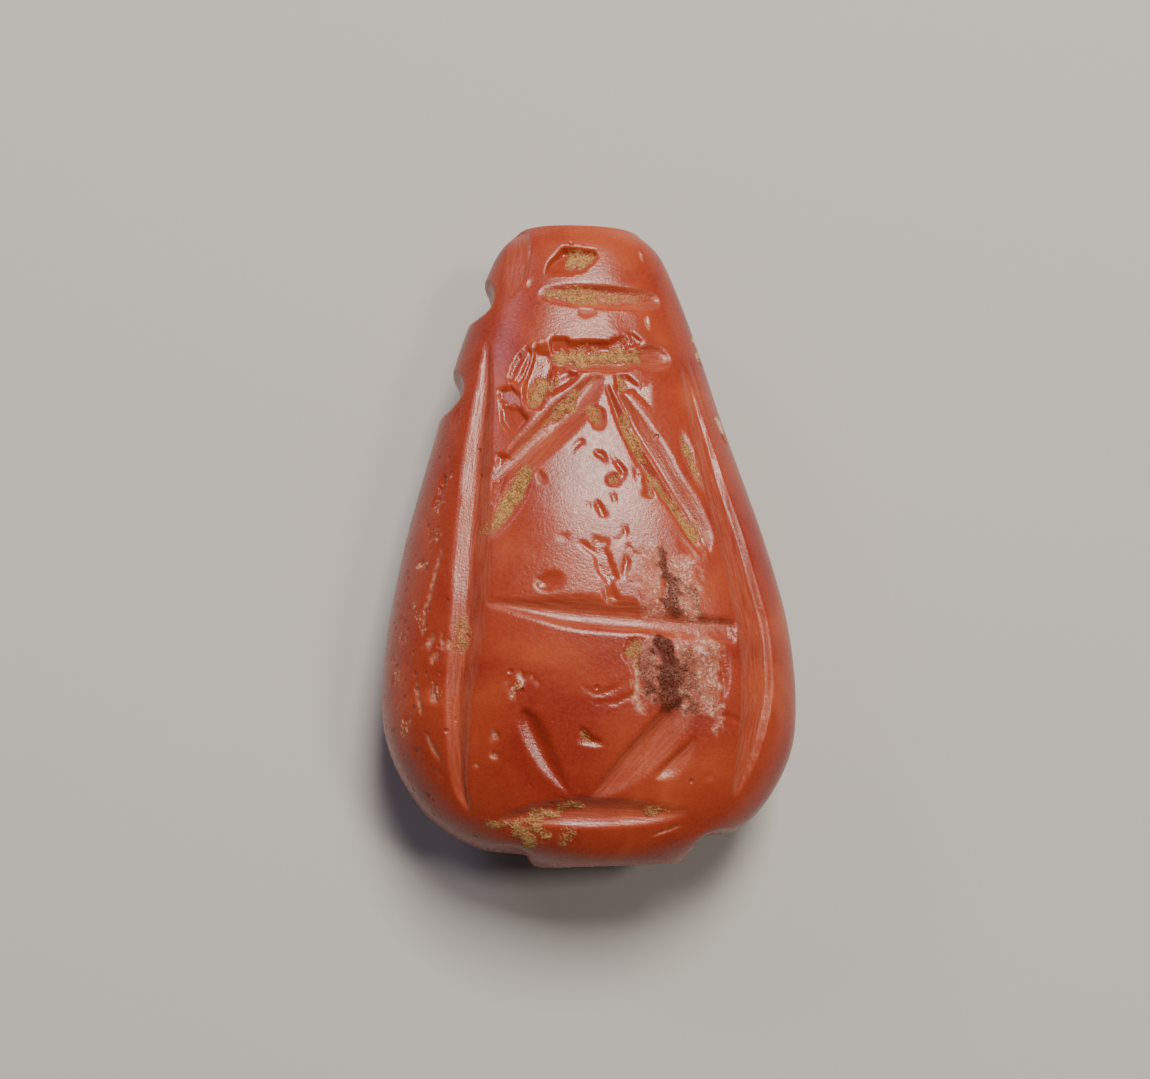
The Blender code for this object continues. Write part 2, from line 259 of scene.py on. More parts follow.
def run_along(points, weights=1.0):
    """How far along a curve through the points each of them lies."""
    steps = np.linalg.norm(np.diff(points, axis=0), axis=1) * weights
    return np.concatenate([[0.0], np.cumsum(steps)])


def leg_gap(points, start, end):
    """How far each point is from a straight leg, and how far along the leg, from 0 to 1."""
    leg = end - start
    f = np.clip(((points - start) @ leg) / max(leg @ leg, 1e-9), 0, 1)
    return np.linalg.norm(points - start - f[:, None] * leg, axis=1), f


def ring_shares():
    """Shares of the length at which the rings lie, closer where the outline turns in."""
    fine = np.linspace(0, 1, 4000)
    _, half, front, _ = section(fine)
    crowding = 1 + FOOT_CROWDING * (fine[1:] < CROWDED_SHARE)
    run = run_along(np.stack([fine * LENGTH, half, front], -1), crowding)
    return np.interp(np.linspace(0, run[-1], BODY_RINGS), run, fine)


def guide_line(route, along):
    """A smoothed line across the rings that keeps to a long groove, as x at each ring."""
    route = np.array([point[:2] for point in route]) / 1000
    middle, half, _, _ = section(along)
    across = np.interp(along, route[:, 1], route[:, 0]) * HALF_WIDTH
    across = np.clip(across, middle - GUIDE_REACH * half, middle + GUIDE_REACH * half)
    kernel = np.hanning(GUIDE_SMOOTHING)
    padded = np.pad(across, GUIDE_SMOOTHING // 2, mode="edge")
    return np.convolve(padded, kernel / kernel.sum(), mode="valid")


def ring_angles(along):
    """Angles round each section. Whole columns of points keep to the two long grooves."""
    fine = np.linspace(0, 1, 181)
    rows = []
    for share, *lines in zip(along, guide_line(RIGHT_LONG, along), guide_line(LEFT_LONG, along)):
        here = np.full_like(fine, share)
        front = -stone_points(here, fine * math.pi)[:, 0]
        turns = [np.interp(-line, front, fine * math.pi) for line in lines]
        turns = [0.0, *turns, math.pi, 2 * math.pi]
        row = []
        for start, end, count in zip(turns, turns[1:], COLUMNS):
            angle = start + (end - start) * fine
            run = run_along(stone_points(here, angle))
            row.append(np.interp(np.linspace(0, run[-1], count + 1)[:-1], run, angle))
        rows.append(np.concatenate(row))
    return np.array(rows)


def ways_inward(points, along):
    """Directions from the points of the uncarved stone to the middle line of their own section."""
    middle, half, front, back = section(along)
    reach = np.maximum(half - np.minimum(front, back), 0.0)
    target = middle + np.clip(points[:, 0] - middle, -reach, reach)
    level = np.zeros_like(target)
    return unit(np.stack([target - points[:, 0], level, GIRDLE - points[:, 2]], -1))


class Cut:
    """One shape that is taken out of the stone, seen from the points of the surface near it.

    Each point moves straight inwards, so its place in the cut's own axes is a start and a rate. A
    cut's inside is the signed distance to its shape at each near point's depth, below zero in it.
    """

    def __init__(self, near, edge, kind):
        self.near, self.edge, self.kind = near, edge, kind


class Groove(Cut):
    """A cut drawn along a route, with a floor and two walls that may flare unlike each other.

    A third number at a point of the route narrows or widens the whole cut there, and a fourth makes
    it shallower or deeper.
    """

    def __init__(self, stone, route, left, right, depth, floor=0.1, tilt=0.0, run_in=2.0,
                 run_out=2.0, round_off=0.25, edge=0.11, side=1, kind="ground", wobble=0.03,
                 lines=0.012):
        route = [(x / 1000, y / 1000, *sizes, 1.0, 1.0)[:4] for x, y, *sizes in route]
        steps = max(24, len(route) * 12)
        t = np.linspace(0, 1, steps + 1)
        path = route_points(route, t)
        place, normal = face_points(path[:, :2], side)
        tangent = unit(np.gradient(place, axis=0))
        across = unit(np.cross(tangent, normal))
        normal = unit(np.cross(across, tangent))
        turn = math.radians(tilt)
        across, normal = (across * math.cos(turn) - normal * math.sin(turn),
                          normal * math.cos(turn) + across * math.sin(turn))
        seed = place[0, 0] + place[-1, 1]
        place = place + across * wander(place, 2.2, seed)[:, None] * wobble
        share = 1 - np.abs(2 * t - 1) ** np.where(t < 0.5, run_in, run_out)
        deep = depth * path[:, 3] * share * (1 + 0.10 * wander(place, 1.7, seed + 5))
        bottom = place - normal * deep[:, None]
        reach = (left + right + 2 * floor + depth) * path[:, 2:].max()
        points, inward = stone.points, stone.inward
        low, high = bottom.min(0) - reach, bottom.max(0) + reach
        near = np.nonzero(np.all((points > low) & (points < high), axis=1))[0]
        base = points[near]
        best = np.full(len(near), np.inf)
        at = np.zeros(len(near))
        for i in range(steps):
            gap, f = leg_gap(base, place[i], place[i + 1])
            closer = gap < best
            best[closer] = gap[closer]
            at[closer] = (i + f)[closer]
        keep = best < reach
        near, base, at = near[keep], base[keep], at[keep]
        super().__init__(near, edge, kind)
        index = np.arange(steps + 1)

        def pick(values):
            return np.stack([np.interp(at, index, column) for column in values.T], -1)

        centre, tangent = pick(bottom), unit(pick(tangent))
        across, normal = unit(pick(across)), unit(pick(normal))
        width = np.interp(at, index, path[:, 2] * np.sqrt(share)) + 0.02
        gap, way = base - centre, inward[near]
        self.b0, self.b1 = dot(gap, across), dot(way, across)
        self.h0, self.h1 = dot(gap, normal), dot(way, normal)
        ends = (at <= 0) | (at >= steps)
        self.past = np.where(ends, np.abs(dot(gap, tangent)), -1.0)
        self.left, self.right = left * width / depth, right * width / depth
        self.floor, self.round_off = floor * width, round_off
        length = np.linalg.norm(np.diff(place, axis=0), axis=1).sum()
        self.across = self.b0.copy()
        self.stroke = at / steps * length + seed
        furrows = [noise.noise(Vector((b * 3.2 + seed, s * 0.2, seed)))
                   for b, s in zip(self.b0, self.stroke)]
        self.h0 = self.h0 - lines * np.array(furrows)

    def inside(self, depth):
        b, h = self.b0 + depth * self.b1, self.h0 + depth * self.h1
        left = (-b - self.floor - h * self.left) / np.hypot(1, self.left)
        right = (b - self.floor - h * self.right) / np.hypot(1, self.right)
        walls = smooth_max(left, right, self.round_off)
        return np.maximum(smooth_max(walls, -h, self.round_off), self.past)


class Notch(Cut):
    """A round rod that stands upright and bites into the edge of the outline."""

    def __init__(self, stone, column, along, width, depth, edge=0.15):
        radius = (width * width / 4 + depth * depth) / (2 * depth)
        place, outward = edge_point(column, along)
        middle = place + outward * (radius - depth)
        level = np.array([1.0, 1.0, 0.0])
        gap = (stone.points - middle) * level
        near = np.nonzero(np.linalg.norm(gap, axis=1) < radius + 0.8)[0]
        super().__init__(near, edge, "ground")
        points = stone.points[near]
        self.gap, self.way = gap[near], stone.inward[near] * level
        self.radius = radius * (1 + 0.05 * wander(points, 1.1, along))
        self.across, self.stroke = points[:, 1] - place[1], points[:, 2]

    def inside(self, depth):
        return np.linalg.norm(self.gap + depth[:, None] * self.way, axis=1) - self.radius


class Hollow(Cut):
    """A hollow with an uneven oval rim, a nearly flat floor and maybe a deeper end."""

    def __init__(self, stone, place, length, width, depth, turn=0.0, lean=0.0, rough=0.16,
                 edge=0.03, kind="broken", ripple=0.0):
        point, normal = (rows[0] for rows in face_points(np.array(place) / 1000))
        angle = math.radians(turn)
        first = unit(np.cross(np.array([0.0, 1.0, 0.0]), normal))
        second = np.cross(normal, first)
        long_way = first * math.cos(angle) + second * math.sin(angle)
        wide_way = np.cross(normal, long_way)
        gap = stone.points - point
        near = np.nonzero(np.linalg.norm(gap, axis=1) < length * 0.75 + depth)[0]
        super().__init__(near, edge, kind)
        gap, way = gap[near], stone.inward[near]
        uneven = 1 + rough * (stone.coarse[near] + 0.8 * stone.fine[near])
        self.u0, self.u1 = (dot(part, long_way) / (length / 2) for part in (gap, way))
        self.v0, self.v1 = (dot(part, wide_way) / (width / 2) for part in (gap, way))
        self.u0, self.v0 = self.u0 * uneven, self.v0 * uneven
        self.h0, self.h1 = dot(gap, normal), dot(way, normal)
        self.sunk, self.lean = depth, lean
        self.across, self.stroke = dot(gap, wide_way), dot(gap, long_way)
        waves = np.linalg.norm(gap + long_way * length * 0.6, axis=1) / RIPPLE_SPACING
        within = self.u0**2 + self.v0**2 < 1
        self.h0 = self.h0 - ripple * np.sin(waves * 2 * math.pi) * within

    def inside(self, depth):
        u, v = self.u0 + depth * self.u1, self.v0 + depth * self.v1
        bowl = 1 - (u * u + v * v) ** 2
        slope = np.clip(1 + self.lean * u, 0.1, 2.0)
        return -(self.h0 + depth * self.h1 + self.sunk * np.maximum(bowl * slope, -4))


class Facet(Cut):
    """A flat-floored chip with straight sides, which deepens evenly one way, given in degrees."""

    def __init__(self, stone, corners, toward, shallow, deep, wall, kind):
        places, _ = face_points(np.reshape(corners, (-1, 2)) / 1000)
        middle = places.mean(0)
        turn = math.radians(toward)
        way = np.array([math.cos(turn), math.sin(turn)])
        reach = places[:, :2] @ way
        size = np.linalg.norm(places - middle, axis=1).max() + deep + 0.5
        near = np.nonzero(np.linalg.norm(stone.points - middle, axis=1) < size)[0]
        super().__init__(near, 0.03, kind)
        points, inward = stone.points[near], stone.inward[near]
        flat = points[:, :2] + 0.05 * np.stack([stone.fine[near], stone.coarse[near]], -1)
        gap = np.full(len(near), np.inf)
        within = np.zeros(len(near), bool)
        for a, b in zip(places[:, :2], np.roll(places[:, :2], -1, axis=0)):
            gap = np.minimum(gap, leg_gap(flat, a, b)[0])
            over = (a[1] > flat[:, 1]) != (b[1] > flat[:, 1])
            crossing = a[0] + (flat[:, 1] - a[1]) * (b[0] - a[0]) / ((b[1] - a[1]) or 1e-9)
            within ^= over & (flat[:, 0] < crossing)
        self.rim = np.where(within, -gap, gap)
        rate = (deep - shallow) / np.ptp(reach)
        self.floor = shallow + rate * (flat @ way - reach.min()) + 0.012 * stone.fine[near]
        self.drift = rate * (inward[:, :2] @ way)
        shares = points[:, :2] * [1 / HALF_WIDTH, 1 / LENGTH] + [0, 0.5]
        self.fall = dot(inward, face_points(shares)[1])
        self.wall = wall
        self.across = (points - middle) @ np.array([-way[1], way[0], 0.0])
        self.stroke = flat @ way

    def inside(self, depth):
        height = depth * self.fall
        rim = (self.rim - self.wall * height) / math.hypot(1, self.wall)
        return np.maximum(rim, -(height + self.floor + depth * self.drift))


class RestingFlat(Cut):
    """The rubbed flat that the stone lies on."""

    def __init__(self, stone):
        super().__init__(np.nonzero(stone.points[:, 2] < 1.0)[0], 0.05, "ground")
        self.across, self.stroke, self.start = stone.points[self.near].T
        self.rate = stone.inward[self.near][:, 2]

    def inside(self, depth):
        return self.start + depth * self.rate


class Stone:
    """The grid of the uncarved stone, and what carving it does to each point."""

    def __init__(self):
        shares = ring_shares()
        angle = ring_angles(shares)
        along = np.repeat(shares[:, None], angle.shape[1], axis=1)
        across = stone_points(along, angle)[..., 0] / HALF_WIDTH
        belt = np.array([point[:2] for point in BELT]) / 1000
        bend = np.interp(across, belt[:, 0], belt[:, 1]) - BELT_MIDDLE
        near = np.exp(-(((along - BELT_MIDDLE) / BELT_REACH) ** 2))
        along = along + bend * near * (angle < math.pi)
        grid = stone_points(along, angle)
        self.rings, self.around = grid.shape[:2]
        self.points = grid.reshape(-1, 3)
        self.inward = ways_inward(self.points, along.ravel())
        self.coarse = wander(self.points, COARSE, 1)
        self.fine = wander(self.points, FINE, 2)
        self.cuts = carving(self)

    def carve(self):
        """Pushes every point inwards until it is out of all the cuts."""
        depth = np.zeros(len(self.points))
        for _ in range(MARCH_STEPS):
            outside = -depth
            for cut in self.cuts:
                gap = cut.inside(depth[cut.near])
                outside[cut.near] = smooth_max(outside[cut.near], -gap, cut.edge)
            depth = depth + MARCH_SHARE * outside
        self.depth = np.maximum(depth, 0.0)

    def ease_foot_notches(self):
        """Spreads the walls of the foot notches, which face along the stone, over several rings."""
        depth = self.depth.reshape(self.rings, self.around)
        x, along, z = self.points[:, 0], self.points[:, 1] / LENGTH + 0.5, self.points[:, 2]
        near = smooth_step((0.11 - along) / 0.03) * smooth_step((np.abs(x) - 2.6) / 0.8)
        near = (near * smooth_step((3.9 - np.abs(z - GIRDLE)) / 0.9)).reshape(depth.shape)
        for _ in range(FOOT_NOTCH_PASSES):
            ends = np.pad(depth, ((1, 1), (0, 0)), mode="edge")
            mean = (ends[:-2] + 2 * depth + ends[2:]) / 4
            mean = (np.roll(mean, 1, axis=1) + 2 * mean + np.roll(mean, -1, axis=1)) / 4
            depth = depth + near * (mean - depth)
        self.depth = depth.ravel()

    def patch(self, spots, ragged=0.3):
        """How strongly each point of the front lies in any of the spots, from 0 to just over 1."""
        flat = self.points[:, :2]
        uneven = ragged * (self.coarse + 0.7 * self.fine)
        best = np.zeros(len(flat))
        for spot in spots:
            ends = np.reshape(spot[:4], (2, 2)) / 1000
            start, end = (ends - [0.0, 0.5]) * [HALF_WIDTH, LENGTH]
            half_width, much, more = spot[4], spot[5], spot[-1]
            gap, f = leg_gap(flat, start, end)
            near = np.clip(1.6 - (gap + uneven) / half_width, 0, 1)
            best = np.maximum(best, (much + (more - much) * f) * near)
        return np.clip(best, 0, 1.2) * (self.points[:, 2] > GIRDLE)

    def weather(self):
        """Soil in the cuts, the rough place, and the slight waves of a surface ground by hand."""
        across, along = self.points[:, 0] / HALF_WIDTH, self.points[:, 1] / LENGTH + 0.5
        grain = wander(self.points, GRAIN, 3)
        ragged = 0.30 * self.coarse + 0.25 * self.fine
        foot = smooth_step((0.075 - along) / 0.01)
        held = np.maximum(smooth_step((self.depth - 0.08) / 0.12), foot)
        self.soil = self.patch(SOIL, 0.45) * (1 + ragged) * held
        packed = smooth_step((self.soil + 0.35 * self.fine - 0.4) * 3)
        self.frost, self.black = self.patch(FROST, 0.6), self.patch(BLACK, 0.6)
        self.tan = self.patch(TAN)
        flank = smooth_step((-across - 0.62) / 0.12) * smooth_step((0.75 - along) / 0.15)
        self.dented = 0.04 + 0.9 * flank + 0.4 * (self.points[:, 2] < GIRDLE)
        self.depth = self.depth - packed * np.minimum(self.depth * 0.3, 0.14) * (1 + 0.5 * grain)
        self.depth = self.depth + self.frost * 0.02 * (grain + self.fine)
        waves = wander(self.points, WAVES, 8) * 0.03 + self.coarse * 0.006
        self.depth = self.depth + waves * smooth_step(self.points[:, 2] / 1.5)

    def mark_kinds(self):
        """How far each point lies on a cut of each kind, and its place in that cut's strokes."""
        count = len(self.points)
        nearest = np.full(count, np.inf)
        owner = np.full(count, -1)
        self.across, self.stroke = np.zeros(count), np.zeros(count)
        for number, cut in enumerate(self.cuts):
            gap = np.abs(cut.inside(self.depth[cut.near]))
            closer = (gap < nearest[cut.near]) & (self.depth[cut.near] > BARELY_CUT)
            chosen = cut.near[closer]
            nearest[chosen] = gap[closer]
            owner[chosen] = number
            self.across[chosen] = cut.across[closer]
            self.stroke[chosen] = cut.stroke[closer]
        weight = smooth_step((self.depth - BARELY_CUT) / 0.06) * smooth_step(1 - nearest / 0.15)
        for kind in KINDS:
            mine = np.array([cut.kind == kind for cut in self.cuts] + [False])
            setattr(self, kind, weight * mine[owner])


# The plainer cuts of the back: half of them, and how far each neck groove runs to one side
BACK_LONG = ((500, 700), (580, 560), (650, 400), (660, 240), (580, 120))
BACK_NECK = ((878, 300), (777, 380))

# The long grooves down both sides, from the wide end up: across, along, and how wide there
LEFT_LONG = (
    (-570, 80, 0.4), (-625, 120, 0.6), (-645, 180, 0.7), (-648, 260, 0.8), (-635, 335, 1.0),
    (-624, 410, 1.1), (-612, 480, 1.1), (-596, 545, 1.0), (-578, 610, 0.9), (-553, 670, 0.75),
    (-524, 736, 0.55), (-510, 800, 0.4),
)
RIGHT_LONG = (
    (662, 105, 0.6), (722, 170, 0.8), (762, 232, 1.0), (774, 277, 1.1), (757, 351, 1.1),
    (705, 426, 1.0), (652, 495, 0.9), (592, 565, 0.8), (532, 646, 0.65, 0.7), (485, 712, 0.5, 0.5),
    (446, 770, 0.4, 0.3),
)

# The belt, and its wider flat-floored right end
BELT = (
    (-580, 392, 0.5, 0.6), (-297, 376, 0.8, 0.8), (-78, 366), (198, 359), (380, 355, 0.9, 0.9),
    (520, 352, 0.6, 0.5),
)
BELT_END = (
    (60, 362, 0.8, 0.7), (250, 357, 0.9, 0.9), (431, 353), (654, 351),
)
BELT_MIDDLE = 0.365
BELT_REACH = 0.07

# Small pits and chips: across, along, length, width, depth, and the turn of the length in degrees
PITS = (
    (9, 673, 1.4, 0.9, 0.228, -70), (82, 573, 0.84, 0.74, 0.168, 0),
    (-256, 576, 0.8, 0.4, 0.108, -60), (-155, 484, 0.59, 0.24, 0.048, 10),
    (169, 316, 1.5, 0.88, 0.204, 60), (252, 447, 0.3, 0.24, 0.072, 60),
    (271, 441, 0.46, 0.3, 0.096, 80), (237, 420, 0.36, 0.24, 0.084, 20),
    (222, 393, 0.4, 0.26, 0.084, -40), (200, 435, 0.3, 0.2, 0.072, 80),
    (195, 420, 0.34, 0.2, 0.072, 75), (262, 400, 0.3, 0.22, 0.072, 30),
    (230, 445, 0.26, 0.2, 0.06, 0), (-25, 845, 1.07, 0.45, 0.096, 0),
    (-744, 256, 0.83, 0.28, 0.06, -75), (-709, 137, 0.32, 0.28, 0.072, 0),
    (-937, 314, 0.43, 0.43, 0.06, 0), (-935, 279, 0.57, 0.38, 0.072, 90),
    (-865, 216, 0.84, 0.37, 0.072, 80), (-886, 343, 0.66, 0.24, 0.06, 80),
    (-740, 548, 0.8, 0.5, 0.084, 40), (-755, 496, 0.5, 0.3, 0.072, 10),
    (-805, 452, 0.6, 0.4, 0.084, 60), (-759, 261, 0.8, 0.4, 0.084, 70),
    (-648, 680, 0.95, 0.36, 0.072, 80), (650, 657, 0.7, 0.3, 0.096, -65),
    (519, 817, 0.65, 0.32, 0.072, -60), (538, 793, 0.81, 0.32, 0.072, -70),
    (534, 133, 0.4, 0.35, 0.048, 0), (-474, 189, 0.62, 0.3, 0.072, 80),
    (-381, 257, 0.71, 0.36, 0.084, -10), (-329, 276, 0.62, 0.36, 0.084, -30),
    (-405, 270, 0.5, 0.3, 0.06, 50), (480, 362, 0.7, 0.16, 0.06, 0),
    (-900, 372, 0.34, 0.26, 0.072, 20), (-862, 388, 0.42, 0.24, 0.072, -30),
    (-822, 376, 0.3, 0.24, 0.06, 60), (-868, 300, 0.36, 0.28, 0.072, 10),
    (-828, 268, 0.44, 0.26, 0.072, 85), (-905, 248, 0.34, 0.3, 0.072, 40),
    (-842, 232, 0.4, 0.24, 0.072, -20), (-790, 232, 0.3, 0.22, 0.06, 30),
    (-822, 172, 0.38, 0.26, 0.072, 60), (-760, 108, 0.34, 0.28, 0.06, 0),
    (-364, 949, 0.8, 0.3, 0.072, 80),
)

# Flakes: the same numbers as a pit's, and then how much each deepens or rises along its length
FLAKES = (
    (151, 832, 2.6, 1.3, 0.03, -20, 0.0), (-151, 728, 2.1, 0.75, 0.3, 38, 0.3),
    (-212, 417, 1.7, 1.1, 0.13, 10, -0.5), (-715, 571, 1.6, 0.5, 0.14, 80, 0.4),
)

# Straight-sided chips: the way each deepens in degrees, its least and greatest depth, how far its
# sides slope, and its corners, each across and then along
CHIPS = (
    # The soil-filled chip at the narrow end
    (90, 0.18, 0.56, 0.5, (-213, 929, -144, 957, 18, 953, 36, 942, -29, 917, -132, 908, -228, 911)),
    # The broken place beside the second neck groove
    (155, 0.05, 0.32, 0.3, (-312, 788, -298, 781, -346, 748, -393, 728, -408, 733, -393, 754,
        -360, 772)),
    (-20, 0.08, 0.36, 0.3, (-303, 783, -289, 779, -303, 758, -332, 735, -361, 722, -384, 729,
        -346, 750)),
    (-20, 0.3, 0.42, 0.4, (-284, 783, -203, 781, -180, 754, -200, 734, -220, 710, -253, 684,
        -309, 686, -342, 702, -332, 732, -299, 758)),
    (-60, 0.18, 0.28, 0.3, (-450, 694, -347, 685, -310, 668, -356, 648, -412, 650, -440, 665)),
    (160, 0.05, 0.28, 0.3, (-455, 716, -393, 723, -347, 706, -337, 684, -445, 694)),
    (120, 0.12, 0.42, 0.3, (-189, 776, -133, 756, -81, 736, -162, 723, -196, 711, -185, 744)),
    # The scored end of the left slanting groove
    (10, 0.02, 0.34, 0.3, (-495, 527, -486, 582, -454, 613, -403, 613, -384, 601, -421, 570,
        -463, 536)),
    # The chipped upper rim of the second neck groove, with its three-cornered flake
    (-90, 0.0, 0.66, 0.3, (-203, 802, -131, 802, -112, 796, 71, 797, 180, 816, 162, 779, 31, 769,
        -161, 767, -213, 777)),
    (225, 0.14, 0.22, 0.3, (185, 818, 253, 797, 153, 784)),
    (-90, 0.0, 0.3, 0.3, (-279, 789, -212, 794, -208, 779, -289, 776)),
    (200, 0.1, 0.34, 0.5, (101, 740, 164, 742, 221, 727, 191, 716, 108, 713)),
    (180, 0.0, 0.2, 0.3, (186, 716, 236, 729, 281, 732, 271, 690, 224, 702)),
    # Chips in the middle panel
    (45, 0.0, 0.14, 0.6, (-124, 612, -105, 629, -71, 638, -43, 633, -81, 626, -110, 615)),
    (60, 0.01, 0.16, 0.6, (-11, 614, 8, 619, 40, 616, 59, 606, 53, 594, 21, 605)),
    (20, 0.03, 0.18, 0.6, (74, 618, 87, 608, 124, 597, 147, 588, 137, 572, 109, 574, 109, 588,
        77, 603)),
    (30, 0.01, 0.14, 0.6, (70, 555, 84, 552, 102, 538, 92, 533, 74, 541)),
    (20, 0.01, 0.17, 0.6, (-15, 536, 9, 539, 32, 530, 45, 515, 26, 513, -1, 522)),
    (0, 0.0, 0.09, 0.6, (-42, 537, -29, 536, -29, 525, -38, 527)),
    (0, 0.0, 0.09, 0.6, (45, 524, 55, 521, 54, 512, 45, 515)),
    (60, 0.01, 0.14, 0.6, (128, 503, 147, 497, 137, 484, 114, 478, 81, 478, 86, 483, 114, 484,
        124, 495)),
    (-90, 0.0, 0.08, 0.6, (-173, 484, -131, 490, -118, 485, -159, 479)),
    (-60, 0.05, 0.11, 0.35, (-21, 484, 49, 483, 57, 461, 80, 437, 102, 422, 70, 415, 42, 416,
        10, 428, -8, 446, -17, 464)),
    (-45, 0.03, 0.14, 0.8, (-86, 478, -58, 478, -7, 464, -3, 454, -40, 460, -76, 469)),
    (-90, 0.05, 0.2, 0.4, (33, 416, 70, 416, 83, 405, 106, 390, 42, 385, 19, 404)),
    (0, 0.03, 0.18, 0.6, (112, 426, 122, 445, 136, 462, 155, 456, 149, 438, 135, 423)),
    (0, 0.01, 0.14, 0.6, (187, 464, 206, 459, 205, 442, 186, 439)),
    (0, 0.01, 0.13, 0.6, (190, 402, 204, 402, 212, 384, 198, 381)),
    (20, 0.03, 0.14, 0.6, (123, 478, 146, 474, 174, 465, 192, 450, 173, 456, 150, 463)),
    (0, 0.01, 0.14, 0.6, (181, 596, 209, 589, 194, 573, 180, 576)),
    (0, 0.01, 0.25, 0.5, (222, 579, 255, 570, 277, 546, 211, 546, 231, 561)),
    (-20, 0.07, 0.26, 0.5, (504, 489, 538, 488, 536, 465, 497, 470)),
    # The three-cornered flake above the foot
    (180, 0.1, 0.24, 0.5, (-75, 209, -33, 194, 40, 183, 27, 179, -74, 180)),
)

# Chips with a whitened floor, beside the rough place and on the left flank: the same numbers.
# Their pale floor is partly whitened broken stone and partly a painted highlight for their glint
PALE_CHIPS = (
    (37, 0.0, 0.32, 0.2, (168, 302, 188, 302, 198, 285, 196, 258, 208, 238, 230, 226, 184, 226,
        168, 256)),
    (58, 0.0, 0.26, 0.3, (-780, 321, -785, 331, -753, 342, -739, 341, -762, 323)),
    (58, 0.0, 0.24, 0.3, (-716, 340, -702, 343, -697, 322, -715, 318)),
    (58, 0.0, 0.24, 0.3, (-693, 338, -675, 341, -669, 320, -688, 317)),
    (58, 0.0, 0.24, 0.3, (-752, 311, -725, 319, -706, 316, -729, 305)),
    (58, 0.0, 0.14, 0.3, (-766, 304, -752, 310, -742, 303, -761, 298)),
    (20, 0.0, 0.22, 0.3, (-487, 189, -465, 199, -442, 196, -446, 189, -482, 185)),
    (20, 0.0, 0.2, 0.3, (-486, 160, -477, 170, -445, 165, -450, 157)),
    (20, 0.0, 0.14, 0.3, (-558, 146, -554, 153, -535, 149)),
    (20, 0.0, 0.18, 0.3, (-372, 283, -345, 286, -336, 277, -358, 273)),
    (20, 0.0, 0.18, 0.3, (-309, 281, -291, 281, -295, 274, -313, 275)),
    (-20, 0.0, 0.18, 0.3, (-290, 269, -263, 272, -254, 264, -281, 262)),
    (0, 0.0, 0.16, 0.3, (-399, 260, -372, 255, -376, 245, -403, 248)),
    (0, 0.0, 0.18, 0.3, (-764, 248, -755, 268, -741, 262, -722, 241, -745, 242)),
)

# Where soil is packed in: from, to, half its width, and how much there, or how much from and to
SOIL = (
    (-215, 876, -2, 874, 0.34, 1.0, 0.7), (-2, 874, 287, 877, 0.32, 0.6, 0.15),
    (-60, 846, 10, 845, 0.22, 0.8), (-100, 934, -10, 938, 0.44, 0.95),
    (-160, 768, 206, 774, 0.36, 1.1, 0.9), (-286, 695, -219, 724, 0.38, 0.7, 0.9),
    (-190, 667, -90, 707, 0.3, 0.75), (-310, 590, -482, 496, 0.38, 1.0),
    (112, 737, 125, 727, 0.4, 0.6), (129, 671, 220, 608, 0.24, 0.9),
    (272, 561, 440, 493, 0.42, 0.9), (430, 645, 496, 586, 0.24, 0.9), (2, 680, 14, 666, 0.34, 0.7),
    (80, 573, 84, 573, 0.26, 0.8), (155, 309, 183, 323, 0.42, 0.7),
    (-65, 192, -60, 184, 0.24, 0.55), (-60, 183, 20, 181, 0.22, 0.45),
    (-470, 66, -363, 63, 0.24, 0.9), (-345, 62, -285, 40, 0.32, 1.0),
    (-370, 66, -200, 78, 0.24, 0.9), (-275, 60, -225, 46, 0.26, 0.8), (240, 88, 400, 86, 0.16, 0.7),
    (-159, 90, -60, 92, 0.12, 0.6), (-120, 50, -140, 36, 0.22, 0.45),
    (-625, 325, -618, 360, 0.4, 0.5),
)

# The rough place at the right of the belt, where black specks lie in a frosted surface with
# painted glints
FROST = (
    (240, 456, 268, 382, 0.6, 0.7), (400, 440, 428, 374, 0.6, 1.15),
    (245, 312, 255, 262, 0.6, 0.55), (390, 320, 420, 250, 0.75, 0.8),
    (500, 320, 512, 248, 0.62, 1.25), (431, 356, 585, 355, 0.4, 0.28),
    (515, 250, 560, 212, 0.3, 0.9, 0.6), (300, 262, 400, 246, 0.45, 0.6),
)
BLACK = (
    (317, 462, 329, 391, 0.22, 0.62), (352, 420, 372, 373, 0.36, 0.6),
    (434, 407, 480, 374, 0.3, 0.45), (304, 322, 322, 268, 0.42, 1.1),
    (230, 304, 242, 266, 0.45, 0.46), (340, 296, 360, 246, 0.6, 0.72),
    (415, 310, 428, 262, 0.52, 0.46), (505, 304, 525, 240, 0.5, 0.34, 0.2),
    (262, 260, 330, 240, 0.4, 0.66), (400, 262, 440, 236, 0.4, 0.55),
)

# Worn tan crumbs, given as the soil is
TAN = (
    (530, 824, 552, 800, 0.14, 1.1), (618, 688, 645, 674, 0.14, 1.1),
    (-381, 257, -350, 268, 0.2, 0.55), (-692, 583, -696, 576, 0.2, 0.4),
    (-738, 542, -742, 536, 0.26, 0.34), (-755, 496, -745, 494, 0.22, 0.36),
    (-812, 450, -800, 449, 0.24, 0.4), (-886, 345, -886, 340, 0.22, 0.36),
    (-938, 315, -931, 278, 0.18, 0.36), (-750, 261, -745, 256, 0.24, 0.4),
    (-880, 211, -875, 205, 0.26, 0.36), (-796, 352, -840, 392, 0.16, 0.36),
)

